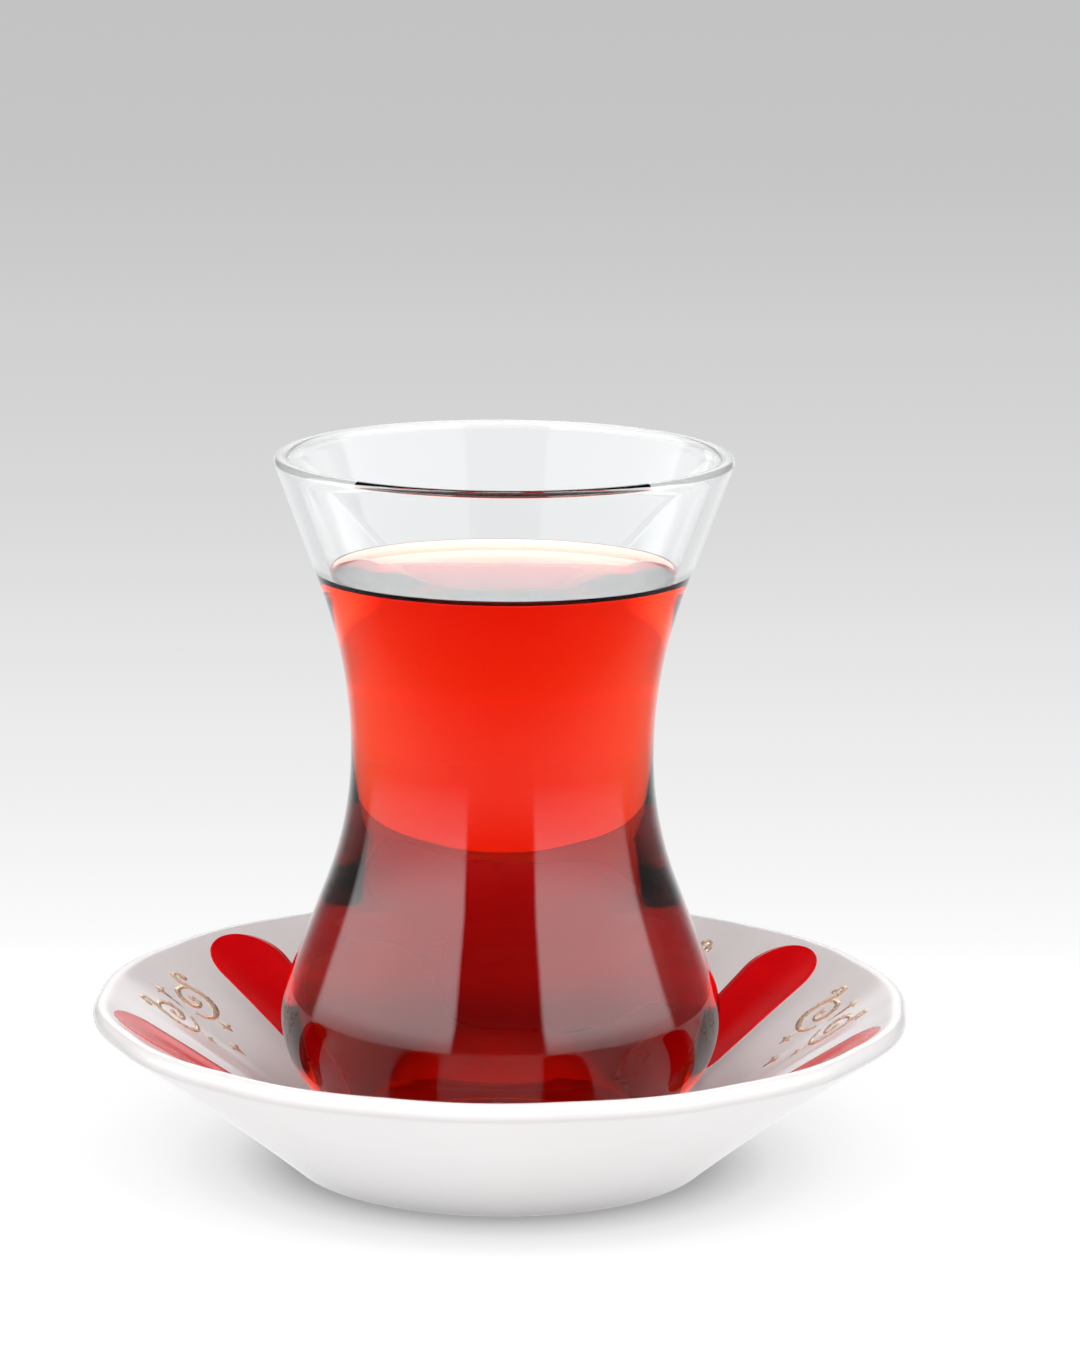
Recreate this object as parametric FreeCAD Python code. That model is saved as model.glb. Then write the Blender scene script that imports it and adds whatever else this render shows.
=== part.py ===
"""Waisted tea glass filled with black tea, standing on a fluted porcelain saucer.

Millimetres, +Z up.  The origin is on the axis, in the plane that the saucer
stands on, and -Y is the front.  Three solids come out, one per STEP file:
the saucer, the glass and the tea inside it.
"""
import FreeCAD, Part
import math
import os

# Saucer: outline
SAUCER_RIM_RADIUS = 55.3      # middle of the rounded lip, over a flute's hollow
SAUCER_HEIGHT = 23.4          # top of the lip above the table
LIP_ROUND = 1.4               # half the thickness of the lip
WALL_BOW = 0.4                # outer wall bowed inwards, half way up
FOOT_RADIUS = 29.5            # outer side of the foot ring
FOOT_RING_WIDTH = 4.0
FOOT_DEPTH = 2.2              # hollow underneath, inside the ring
FOOT_ROUND = 0.8              # rounding of the ring's inner edge
FOOT_CURVE = 1.6              # rounding between the ring and the sloping wall
WELL_HEIGHT = 5.6             # flat floor that the glass stands on
WELL_RADIUS = 25.5            # flat floor, before it curves up
WELL_CURVE = 10.0             # radius of that curve

# Saucer: flutes
FLUTES = 14
FLUTE_DEPTH = 1.0             # hollow of a flute behind its ridges, on the inner wall
LIP_FLUTE_DEPTH = 0.4         # the same at the lip
FLUTE_TURN = -3.0             # degrees that the first flute stands off the front
RIDGE_SOFTNESS = 0.22         # 0 gives knife-sharp ridges between the flutes
FLUTE_FADE_HEIGHT = 10.5      # the outer wall is plainly round up to this height
FLUTE_RUN_OUT = 2.5           # rise above the well in which the flutes reach full depth
FLUTE_RUN_IN = 6.0            # fall below the lip in which they do

# Saucer: density of the surface's control points
POLES_PER_FLUTE = 8
OUTER_WALL_ROWS = 7
INNER_WALL_ROWS = 8
LIP_ROWS = 9
CURVE_ROWS = 5
SURFACE_DEGREE = 3

# Glass: heights are above the glass's own underside
GLASS_HEIGHT = 93.9
GLASS_RIM_RADIUS = 31.4
WAIST_RADIUS = 20.85
WAIST_HEIGHT = 52.4
BELLY_RADIUS = 30.5
BELLY_HEIGHT = 15.4
BELLY_ROUND = 14.2            # radius of the belly's bulge
WAIST_ROUND_ABOVE = 67.0      # radius of the hollow above the waist
WAIST_BEND_SHARE = 0.8474     # bulge and hollow below the waist, of the roundest that fit
GLASS_WALL = 1.9
GLASS_FOOT_RADIUS = 19.5      # outer side of the flat ring that the glass stands on
GLASS_FOOT_RING = 3.0         # width of that ring
GLASS_FOOT_RECESS = 1.0       # dished hollow under the base
HEEL_ROUND = 3.0              # rounding between that ring and the sloping lower side
GLASS_FLOOR = 5.6             # thickness of the base
FLOOR_ROUND = 9.0             # rounding inside, between floor and wall

# Tea
TEA_LEVEL = 77.5              # above the glass's underside
TEA_CLEARANCE = 0.05          # between tea and wall, so that the two never overlap


def point(radius, height):
    """A point of a profile in the XZ plane."""
    return FreeCAD.Vector(radius, 0, height)


def on_circle(centre, radius, degrees):
    """The profile point at an angle on a circle, counted from the outward side."""
    angle = math.radians(degrees)
    return centre + point(radius * math.cos(angle), radius * math.sin(angle))


def line(start, end):
    """A straight edge between two points."""
    return Part.LineSegment(start, end).toShape()


def arc(centre, radius, start, end):
    """The arc of a circle between two angles in degrees."""
    middle = on_circle(centre, radius, (start + end) / 2)
    first = on_circle(centre, radius, start)
    last = on_circle(centre, radius, end)
    return Part.Arc(first, middle, last).toShape()


def end_point(edges):
    """Where a run of edges ends."""
    return edges[-1].valueAt(edges[-1].LastParameter)


def slope(low, high):
    """Angle in degrees of the straight way between two points, and its length."""
    across = high.x - low.x
    up = high.z - low.z
    return math.degrees(math.atan2(up, across)), math.hypot(across, up)


def outer_side_angle(low, low_round, high, high_round):
    """Outward angle of the straight side that touches two circles on their outer side."""
    lean, apart = slope(low, high)
    return lean - math.degrees(math.acos((low_round - high_round) / apart))


def crossing_side_angle(low, low_round, high, high_round):
    """Outward angle of the straight side that touches one circle outside, one inside."""
    lean, apart = slope(low, high)
    return lean - math.degrees(math.acos((low_round + high_round) / apart))


def outward(solid):
    """The solid with its faces turned outwards."""
    if solid.Volume < 0:
        solid.reverse()
    return solid


def revolve(edges):
    """The solid made by turning a closed profile about the Z axis."""
    face = Part.Face(Part.Wire(Part.sortEdges(edges)[0]))
    return outward(face.revolve(FreeCAD.Vector(0, 0, 0), FreeCAD.Vector(0, 0, 1), 360))


# ---------------------------------------------------------------- saucer

def rows_on_arc(centre, radius, start, end, count):
    """Evenly spaced points on an arc of the profile, both ends included."""
    turn = (end - start) / (count - 1)
    return [on_circle(centre, radius, start + turn * i) for i in range(count)]


def rows_between(start, end, count):
    """Evenly spaced points between two ends, without the ends."""
    return [start + (end - start) * ((i + 1) / (count + 1)) for i in range(count)]


def rows_on_bow(start, end, outward_angle, count):
    """Points between two ends, bowed in behind the straight way that faces outward_angle."""
    places = []
    for i in range(count):
        way = (i + 1) / (count + 1)
        bow = WALL_BOW * 4 * way * (1 - way)
        places.append(on_circle(start + (end - start) * way, -bow, outward_angle))
    return places


def outside_depth(place):
    """Depth of the flutes on the outer wall, which is plainly round low down."""
    fade = SAUCER_HEIGHT - LIP_ROUND - FLUTE_FADE_HEIGHT
    return LIP_FLUTE_DEPTH * min(1.0, max(0.0, (place.z - FLUTE_FADE_HEIGHT) / fade)) ** 1.5


def inside_depth(place):
    """Depth of the flutes on the inner wall, which runs out into the flat well."""
    fall = (SAUCER_HEIGHT - LIP_ROUND - place.z) / FLUTE_RUN_IN
    full = LIP_FLUTE_DEPTH + (FLUTE_DEPTH - LIP_FLUTE_DEPTH) * min(1.0, max(0.0, fall))
    return full * min(1.0, (place.z - WELL_HEIGHT) / FLUTE_RUN_OUT)


def saucer_profile():
    """Rows of control points from under the foot, round the lip, to the well.

    Each row is its place in the profile and the depth of the flutes there.
    """
    heel = point(FOOT_RADIUS - FOOT_CURVE, FOOT_CURVE)
    lip = point(SAUCER_RIM_RADIUS, SAUCER_HEIGHT - LIP_ROUND)
    bend = point(WELL_RADIUS, WELL_HEIGHT + WELL_CURVE)
    outside = outer_side_angle(heel, FOOT_CURVE, lip, LIP_ROUND)
    inside = crossing_side_angle(bend, WELL_CURVE, lip, LIP_ROUND) + 180

    foot = [point(heel.x - FOOT_CURVE / 4, 0)]
    foot += rows_on_arc(heel, FOOT_CURVE, -90, outside, CURVE_ROWS)
    around_lip = rows_on_arc(lip, LIP_ROUND, outside, inside, LIP_ROWS)
    well = rows_on_arc(bend, WELL_CURVE, inside - 180, -90, CURVE_ROWS)
    well_flat = point(WELL_RADIUS - WELL_CURVE / 8, WELL_HEIGHT)
    outer_wall = rows_on_bow(foot[-1], around_lip[0], outside, OUTER_WALL_ROWS)
    inner_wall = rows_between(around_lip[-1], well[0], INNER_WALL_ROWS)

    rows = [(place, 0.0) for place in foot]
    rows += [(place, outside_depth(place)) for place in outer_wall]
    rows += [(place, LIP_FLUTE_DEPTH) for place in around_lip]
    rows += [(place, inside_depth(place)) for place in inner_wall + well + [well_flat]]
    return rows


def flute(turn):
    """Radial place of the wall across a flute: 0 on a ridge, 1 in the hollow's middle.

    turn counts flutes, and is whole in the middle of each hollow.
    """
    swell = math.hypot(math.cos(math.pi * turn), RIDGE_SOFTNESS) - RIDGE_SOFTNESS
    return swell / (math.hypot(1, RIDGE_SOFTNESS) - RIDGE_SOFTNESS)


def saucer_pole(place, depth, index):
    """One control point: a place of the profile, turned round the axis and fluted."""
    turn = index / POLES_PER_FLUTE
    angle = math.radians(FLUTE_TURN + 360 * turn / FLUTES)
    radius = place.x + depth * (flute(turn) - 1)
    return FreeCAD.Vector(radius * math.sin(angle), -radius * math.cos(angle), place.z)


def saucer_skin():
    """One smooth surface, closed round the axis, from the foot over the lip to the well."""
    rows = saucer_profile()
    around = FLUTES * POLES_PER_FLUTE
    poles = [[saucer_pole(place, depth, i) for place, depth in rows] for i in range(around)]
    spans = len(rows) - SURFACE_DEGREE
    clamped = SURFACE_DEGREE + 1
    surface = Part.BSplineSurface()
    surface.buildFromPolesMultsKnots(
        poles,
        [1] * (around + 1),
        [clamped] + [1] * (spans - 1) + [clamped],
        list(range(around + 1)),
        list(range(spans + 1)),
        True,
        False,
        SURFACE_DEGREE,
        SURFACE_DEGREE,
    )
    return surface.toShape()


def disc_at(skin, height):
    """The flat disc that closes the skin's open edge at a height."""
    level = [e for e in skin.Edges if e.BoundBox.ZLength < 1e-6]
    edges = [e for e in level if abs(e.BoundBox.ZMin - height) < 1e-6]
    return Part.Face(Part.Wire(edges))


def foot_hollow():
    """What is taken out of the underside, inside the foot ring."""
    inner = FOOT_RADIUS - FOOT_RING_WIDTH
    corner = point(inner + FOOT_ROUND, FOOT_ROUND)
    below = -FOOT_DEPTH
    edges = [line(point(0, FOOT_DEPTH), point(inner, FOOT_DEPTH))]
    edges += [line(point(inner, FOOT_DEPTH), point(inner, FOOT_ROUND))]
    edges += [arc(corner, FOOT_ROUND, 180, 270)]
    edges += [line(point(corner.x, 0), point(corner.x, below))]
    edges += [line(point(corner.x, below), point(0, below))]
    edges += [line(point(0, below), point(0, FOOT_DEPTH))]
    return revolve(edges)


def make_saucer():
    """Porcelain saucer with a foot ring, and a fluted inside and lip."""
    skin = saucer_skin()
    shell = Part.Shell([skin, disc_at(skin, 0), disc_at(skin, WELL_HEIGHT)])
    shell.sewShape()
    return outward(Part.Solid(shell.Shells[0])).cut(foot_hollow()).Solids[0]


# ----------------------------------------------------------------- glass

def belly_centre():
    """Centre of the belly's bulge."""
    return point(BELLY_RADIUS - BELLY_ROUND, WELL_HEIGHT + BELLY_HEIGHT)


def waist_centre(waist_round):
    """Centre of one of the two hollows that meet at the waist."""
    return point(WAIST_RADIUS + waist_round, WELL_HEIGHT + WAIST_HEIGHT)


def rim_level():
    """Height at which the straight flare ends and the rim's rounding starts."""
    return WELL_HEIGHT + GLASS_HEIGHT - GLASS_WALL / 2


def glass_side(depth, start, top):
    """Edges of the glass's side, from the belly's bulge up to a height.

    depth is how far inside the outer surface the edges run, start the angle
    on the bulge where they begin and top the height at which they end.
    """
    hollow = waist_round_below()
    belly = belly_centre()
    below = waist_centre(hollow)
    above = waist_centre(WAIST_ROUND_ABOVE)
    flank = crossing_side_angle(belly, BELLY_ROUND, below, hollow)
    flare = flare_angle(above)
    belly_round = BELLY_ROUND - depth
    below_round = hollow + depth
    above_round = WAIST_ROUND_ABOVE + depth

    edges = [arc(belly, belly_round, start, flank)]
    edges += [line(end_point(edges), on_circle(below, below_round, flank + 180))]
    edges += [arc(below, below_round, flank + 180, 180)]
    rise = math.degrees(math.asin(min(1.0, (top - above.z) / above_round)))
    edges += [arc(above, above_round, 180, 180 - min(rise, flare))]
    if rise > flare:
        low = end_point(edges)
        out = (top - low.z) * math.tan(math.radians(flare))
        edges += [line(low, point(low.x + out, top))]
    return edges


def waist_round_below():
    """Radius of the hollow below the waist, which leaves a straight side above the bulge.

    Bulge and hollow together are a set share of the roundest pair that fits.
    """
    drop = BELLY_RADIUS - WAIST_RADIUS
    rise = WAIST_HEIGHT - BELLY_HEIGHT
    roundest = (rise ** 2 + drop ** 2) / (2 * drop)
    return WAIST_BEND_SHARE * roundest - BELLY_ROUND


def flare_angle(above):
    """Angle off the vertical of the straight flare from the waist's hollow to the rim."""
    lean, apart = slope(point(GLASS_RIM_RADIUS, above.z), point(above.x, rim_level()))
    return lean - math.degrees(math.acos(WAIST_ROUND_ABOVE / apart))


def glass_underside():
    """Edges from the axis to the belly's bulge, and the bulge's angle there."""
    ring_inside = point(GLASS_FOOT_RADIUS - GLASS_FOOT_RING, WELL_HEIGHT)
    ring_outside = point(GLASS_FOOT_RADIUS, WELL_HEIGHT)
    dish_top = point(0, WELL_HEIGHT + GLASS_FOOT_RECESS)
    dish_round = (ring_inside.x ** 2 + GLASS_FOOT_RECESS ** 2) / (2 * GLASS_FOOT_RECESS)
    dish_centre = dish_top - point(0, dish_round)
    dish_edge = slope(dish_centre, ring_inside)[0]
    heel = ring_outside + point(0, HEEL_ROUND)
    lower_side = outer_side_angle(heel, HEEL_ROUND, belly_centre(), BELLY_ROUND)
    bulge_start = on_circle(belly_centre(), BELLY_ROUND, lower_side)

    edges = [arc(dish_centre, dish_round, 90, dish_edge)]
    edges += [line(ring_inside, ring_outside)]
    edges += [arc(heel, HEEL_ROUND, -90, lower_side)]
    edges += [line(end_point(edges), bulge_start)]
    return edges, lower_side


def glass_inside_floor(depth):
    """Edges from the axis over the inner floor to the bulge, and the bulge's angle there.

    depth is how far inside the outer surface the wall's edges run.
    """
    belly = belly_centre()
    floor = WELL_HEIGHT + GLASS_FLOOR
    rise = floor + FLOOR_ROUND - belly.z
    out = math.sqrt((BELLY_ROUND - depth - FLOOR_ROUND) ** 2 - rise ** 2)
    corner = belly + point(out, rise)
    angle = slope(belly, corner)[0]
    edges = [line(point(0, floor), point(corner.x, floor))]
    edges += [arc(corner, FLOOR_ROUND, -90, angle)]
    return edges, angle


def make_glass():
    """Waisted glass with a thick dished base and a rounded rim."""
    underside, outer_start = glass_underside()
    outer = glass_side(0, outer_start, rim_level())
    floor, inner_start = glass_inside_floor(GLASS_WALL)
    inner = glass_side(GLASS_WALL, inner_start, rim_level())
    outer_rim = end_point(outer)
    inner_rim = end_point(inner)
    rim_top = point((outer_rim.x + inner_rim.x) / 2, WELL_HEIGHT + GLASS_HEIGHT)
    rim = Part.Arc(outer_rim, rim_top, inner_rim).toShape()
    base_axis = line(
        point(0, WELL_HEIGHT + GLASS_FOOT_RECESS),
        point(0, WELL_HEIGHT + GLASS_FLOOR),
    )
    return revolve(underside + outer + [rim] + inner + floor + [base_axis])


# ------------------------------------------------------------------- tea

def make_tea():
    """The tea: what the glass holds up to its level, just clear of the wall."""
    level = WELL_HEIGHT + TEA_LEVEL
    depth = GLASS_WALL + TEA_CLEARANCE
    floor, start = glass_inside_floor(depth)
    side = glass_side(depth, start, level)
    surface = line(end_point(side), point(0, level))
    axis = line(point(0, level), point(0, WELL_HEIGHT + GLASS_FLOOR))
    return revolve(floor + side + [surface, axis])


def main():
    """Write one STEP file for each solid."""
    os.makedirs("parts", exist_ok=True)
    solids = {"saucer": make_saucer(), "glass": make_glass(), "tea": make_tea()}
    for name, solid in solids.items():
        solid.exportStep("parts/" + name + ".step")
        print(name, "valid", solid.isValid(), "volume cm3", round(solid.Volume / 1000, 2))


main()
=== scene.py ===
"""Turkish tea glass: clear waisted glass, black tea and a fluted, printed porcelain saucer.

Metres, +Z up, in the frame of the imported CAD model.  -Y is the front.  The three CAD
solids are replaced by finer pieces of the same size, and the print on the saucer is added.
"""

import logging
import math
from collections import Counter
from collections.abc import Callable, Iterable, Sequence
from dataclasses import dataclass, field
from enum import Enum
from typing import Any

import bpy
import numpy as np
from mathutils import Matrix, Vector


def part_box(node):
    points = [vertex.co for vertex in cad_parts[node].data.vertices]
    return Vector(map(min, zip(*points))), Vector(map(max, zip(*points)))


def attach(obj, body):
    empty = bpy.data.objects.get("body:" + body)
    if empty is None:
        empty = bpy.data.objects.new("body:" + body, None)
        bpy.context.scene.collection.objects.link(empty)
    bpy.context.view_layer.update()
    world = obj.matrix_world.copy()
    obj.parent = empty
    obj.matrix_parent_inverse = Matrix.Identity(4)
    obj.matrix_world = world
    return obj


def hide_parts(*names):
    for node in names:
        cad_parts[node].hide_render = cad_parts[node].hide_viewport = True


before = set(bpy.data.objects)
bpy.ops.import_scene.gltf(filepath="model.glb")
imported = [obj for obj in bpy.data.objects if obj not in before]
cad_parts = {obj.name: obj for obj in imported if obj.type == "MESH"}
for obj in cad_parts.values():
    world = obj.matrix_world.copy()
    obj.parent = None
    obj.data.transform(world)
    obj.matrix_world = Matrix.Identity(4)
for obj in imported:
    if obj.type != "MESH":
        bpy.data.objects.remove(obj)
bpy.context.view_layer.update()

log = logging.getLogger("tea_glass")

MM = 0.001
BODY = "root"

Pair = tuple[float, float]
Face = tuple[int, ...]
Colour = tuple[float, float, float]


class Slot(Enum):
    """Material slots of the record."""

    PORCELAIN = "porcelain"
    GLASS = "clear_glass"
    TEA = "tea"


class CadNode(Enum):
    """Solids of the CAD model."""

    SAUCER = "saucer"
    GLASS = "glass"
    TEA = "tea"


# ------------------------------------------------------------------ drawing in a profile plane


def on_circle(centre: Pair, radius: float, degrees: float) -> Pair:
    """Point at an angle on a circle of the profile plane.

    Args:
        centre: Middle of the circle, as (radius, height).
        radius: Radius of the circle.
        degrees: Angle from the outward side, positive upwards.

    Returns:
        The point, as (radius, height).
    """
    angle = math.radians(degrees)
    return (centre[0] + radius * math.cos(angle), centre[1] + radius * math.sin(angle))


def arc_points(centre: Pair, radius: float, start: float, end: float, count: int) -> list[Pair]:
    """Evenly spaced points on an arc, both ends included.

    Args:
        centre: Middle of the circle.
        radius: Radius of the circle.
        start: First angle in degrees.
        end: Last angle in degrees.
        count: How many points.

    Returns:
        The points in order.
    """
    return [on_circle(centre, radius, start + (end - start) * i / (count - 1)) for i in range(count)]


def between(start: Pair, end: Pair, count: int) -> list[Pair]:
    """Evenly spaced points strictly between two ends.

    Args:
        start: First end.
        end: Last end.
        count: How many points lie between them.

    Returns:
        The points in order, without the ends.
    """
    shares = [(i + 1) / (count + 1) for i in range(count)]
    return [(start[0] + (end[0] - start[0]) * s, start[1] + (end[1] - start[1]) * s) for s in shares]


def slope(low: Pair, high: Pair) -> Pair:
    """Angle in degrees of the straight way between two points, and its length."""
    across, up = high[0] - low[0], high[1] - low[1]
    return math.degrees(math.atan2(up, across)), math.hypot(across, up)


def tangent_angle(low: Pair, high: Pair, rounds: float) -> float:
    """Outward angle of a straight side that touches two circles.

    Args:
        low: Middle of the lower circle.
        high: Middle of the upper circle.
        rounds: Lower radius less the upper one where both lie inside the side, their sum
            where the side passes between them.

    Returns:
        The angle of the side's outward normal, in degrees.
    """
    lean, apart = slope(low, high)
    return lean - math.degrees(math.acos(rounds / apart))


# ------------------------------------------------------------------------------ meshes


def new_object(name: str, points: np.ndarray, faces: Sequence[Face]) -> bpy.types.Object:
    """Makes a smooth-shaded mesh object at the origin.

    Args:
        name: Name of the object and its mesh.
        points: One row of x, y, z per vertex.
        faces: Vertex indices of each face, anticlockwise seen from outside.

    Returns:
        The new object, linked to the scene.
    """
    mesh = bpy.data.meshes.new(name)
    mesh.from_pydata([tuple(p) for p in points], [], [tuple(f) for f in faces])
    mesh.polygons.foreach_set("use_smooth", [True] * len(mesh.polygons))
    mesh.validate()
    obj = bpy.data.objects.new(name, mesh)
    bpy.context.scene.collection.objects.link(obj)
    return obj


def turned_point(radius: float, height: float, angle: float) -> tuple[float, float, float]:
    """Point at an angle round the axis, counted from the front towards the right."""
    return (radius * math.sin(angle), -radius * math.cos(angle), height)


def revolved(name: str, profile: Sequence[Pair], segments: int) -> bpy.types.Object:
    """Turns a profile that starts and ends on the axis into a closed mesh.

    Args:
        name: Name of the object.
        profile: (radius, height) pairs, from the axis under the piece round its outside.
        segments: Number of faces round the axis.

    Returns:
        The new object.
    """
    rings = profile[1:-1]
    points = [(0.0, 0.0, profile[0][1])]
    for radius, height in rings:
        points += [turned_point(radius, height, math.tau * j / segments) for j in range(segments)]
    points.append((0.0, 0.0, profile[-1][1]))

    last = len(points) - 1
    top = 1 + (len(rings) - 1) * segments
    faces: list[Face] = []
    for j in range(segments):
        k = (j + 1) % segments
        faces.append((0, 1 + k, 1 + j))
        faces.append((last, top + j, top + k))
        for i in range(len(rings) - 1):
            low, high = 1 + i * segments, 1 + (i + 1) * segments
            faces.append((low + j, low + k, high + k, high + j))
    return new_object(name, np.array(points), faces)


# --------------------------------------------------------------------------- node graphs


class Graph:
    """Short way of adding and linking nodes in a node tree."""

    def __init__(self, tree: bpy.types.NodeTree) -> None:
        """Wraps a node tree."""
        self.tree = tree

    def add(self, kind: str, **settings: Any) -> bpy.types.Node:
        """Adds a node.

        Args:
            kind: Node type's identifier.
            **settings: Properties of the node to set.

        Returns:
            The new node.
        """
        node = self.tree.nodes.new(kind)
        for key, value in settings.items():
            setattr(node, key, value)
        return node

    def join(self, source: bpy.types.NodeSocket, target: bpy.types.NodeSocket) -> None:
        """Links two sockets."""
        self.tree.links.new(source, target)

    def math(self, operation: str, first: Any, second: Any = 0.0) -> bpy.types.NodeSocket:
        """Adds a maths node.

        Args:
            operation: Name of the operation.
            first: Socket or number.
            second: Socket or number.

        Returns:
            The node's output.
        """
        node = self.add("ShaderNodeMath", operation=operation)
        for socket, value in zip(node.inputs, (first, second)):
            if isinstance(value, bpy.types.NodeSocket):
                self.join(value, socket)
            else:
                socket.default_value = value
        return node.outputs[0]


@dataclass(frozen=True)
class RingRepeat:
    """Geometry Nodes tree that repeats a piece round the vertical axis.

    Attributes:
        count: How many copies there are in a full turn.
        turn: Angle of the first copy, in degrees.
        weld: Distance within which the copies' vertices are merged.
    """

    count: int
    turn: float
    weld: float

    def tree(self) -> bpy.types.GeometryNodeTree:
        """Builds the tree, with named inputs.

        Returns:
            The node tree.
        """
        tree = bpy.data.node_groups.new("ring_repeat", "GeometryNodeTree")
        face = tree.interface
        face.new_socket("Geometry", in_out="INPUT", socket_type="NodeSocketGeometry")
        face.new_socket("Count", in_out="INPUT", socket_type="NodeSocketInt")
        face.new_socket("First Angle", in_out="INPUT", socket_type="NodeSocketFloat")
        face.new_socket("Weld Distance", in_out="INPUT", socket_type="NodeSocketFloat")
        face.new_socket("Material", in_out="INPUT", socket_type="NodeSocketMaterial")
        face.new_socket("Geometry", in_out="OUTPUT", socket_type="NodeSocketGeometry")

        graph = Graph(tree)
        given = graph.add("NodeGroupInput")
        points = graph.add("GeometryNodePoints")
        graph.join(given.outputs["Count"], points.inputs["Count"])

        index = graph.add("GeometryNodeInputIndex")
        step = graph.math("DIVIDE", math.tau, given.outputs["Count"])
        angle = graph.math("MULTIPLY", index.outputs[0], step)
        whole = graph.math("ADD", angle, given.outputs["First Angle"])
        euler = graph.add("ShaderNodeCombineXYZ")
        graph.join(whole, euler.inputs["Z"])
        rotation = graph.add("FunctionNodeEulerToRotation")
        graph.join(euler.outputs[0], rotation.inputs[0])

        copies = graph.add("GeometryNodeInstanceOnPoints")
        graph.join(points.outputs[0], copies.inputs["Points"])
        graph.join(given.outputs["Geometry"], copies.inputs["Instance"])
        graph.join(rotation.outputs[0], copies.inputs["Rotation"])
        real = graph.add("GeometryNodeRealizeInstances")
        graph.join(copies.outputs[0], real.inputs[0])
        weld = graph.add("GeometryNodeMergeByDistance")
        graph.join(real.outputs[0], weld.inputs["Geometry"])
        graph.join(given.outputs["Weld Distance"], weld.inputs["Distance"])
        paint = graph.add("GeometryNodeSetMaterial")
        graph.join(weld.outputs[0], paint.inputs["Geometry"])
        graph.join(given.outputs["Material"], paint.inputs["Material"])
        result = graph.add("NodeGroupOutput")
        graph.join(paint.outputs[0], result.inputs["Geometry"])
        return tree

    def apply(self, obj: bpy.types.Object, material: bpy.types.Material) -> None:
        """Repeats an object's mesh and leaves a plain mesh behind.

        Args:
            obj: Object with the piece to repeat, drawn at angle zero.
            material: Finish of all the copies.
        """
        modifier = obj.modifiers.new("ring", "NODES")
        modifier.node_group = self.tree()
        values = {
            "Count": self.count,
            "First Angle": math.radians(self.turn),
            "Weld Distance": self.weld,
            "Material": material,
        }
        for item in modifier.node_group.interface.items_tree:
            if item.in_out == "INPUT" and item.name in values:
                modifier[item.identifier] = values[item.name]
        graph = bpy.context.evaluated_depsgraph_get()
        mesh = bpy.data.meshes.new_from_object(obj.evaluated_get(graph))
        obj.modifiers.remove(modifier)
        mesh.name = obj.name
        obj.data = mesh
        mesh.polygons.foreach_set("use_smooth", [True] * len(mesh.polygons))


# ------------------------------------------------------------------------------ finishes


def principled(name: str) -> tuple[bpy.types.Material, Graph, bpy.types.Node]:
    """Starts a material with one Principled shader.

    Args:
        name: Name of the material.

    Returns:
        The material, its graph and the shader node.
    """
    material = bpy.data.materials.new(name)
    material.use_nodes = True
    material.node_tree.nodes.clear()
    graph = Graph(material.node_tree)
    shader = graph.add("ShaderNodeBsdfPrincipled")
    output = graph.add("ShaderNodeOutputMaterial")
    graph.join(shader.outputs[0], output.inputs["Surface"])
    return material, graph, shader


def rgba(colour: Colour) -> tuple[float, float, float, float]:
    """The colour with full opacity."""
    return (*colour, 1.0)


def noise(graph: Graph, size: float, detail: float = 2.0) -> bpy.types.NodeSocket:
    """Adds soft noise on Object coordinates.

    Args:
        graph: Graph to add to.
        size: Width of the noise's patches, in metres.
        detail: Octaves of finer noise.

    Returns:
        The noise's value, from 0 to 1.
    """
    place = graph.add("ShaderNodeTexCoord")
    node = graph.add("ShaderNodeTexNoise")
    graph.join(place.outputs["Object"], node.inputs["Vector"])
    node.inputs["Scale"].default_value = 1.0 / size
    node.inputs["Detail"].default_value = detail
    return node.outputs["Fac"]


def spread(graph: Graph, value: bpy.types.NodeSocket, low: float, high: float) -> bpy.types.NodeSocket:
    """Maps noise to a range.

    Args:
        graph: Graph to add to.
        value: Noise from 0 to 1.
        low: Result where the noise is low.
        high: Result where it is high.

    Returns:
        The mapped value.
    """
    node = graph.add("ShaderNodeMapRange")
    graph.join(value, node.inputs["Value"])
    node.inputs["From Min"].default_value = 0.3
    node.inputs["From Max"].default_value = 0.7
    node.inputs["To Min"].default_value = low
    node.inputs["To Max"].default_value = high
    return node.outputs[0]


def tone(graph: Graph, value: bpy.types.NodeSocket, first: Colour, second: Colour) -> bpy.types.NodeSocket:
    """Mixes two colours by a noise.

    Args:
        graph: Graph to add to.
        value: Noise from 0 to 1.
        first: Colour where the noise is low.
        second: Colour where it is high.

    Returns:
        The mixed colour.
    """
    node = graph.add("ShaderNodeMix", data_type="RGBA")
    graph.join(spread(graph, value, 0.0, 1.0), node.inputs["Factor"])
    node.inputs["A"].default_value = rgba(first)
    node.inputs["B"].default_value = rgba(second)
    return node.outputs["Result"]


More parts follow.
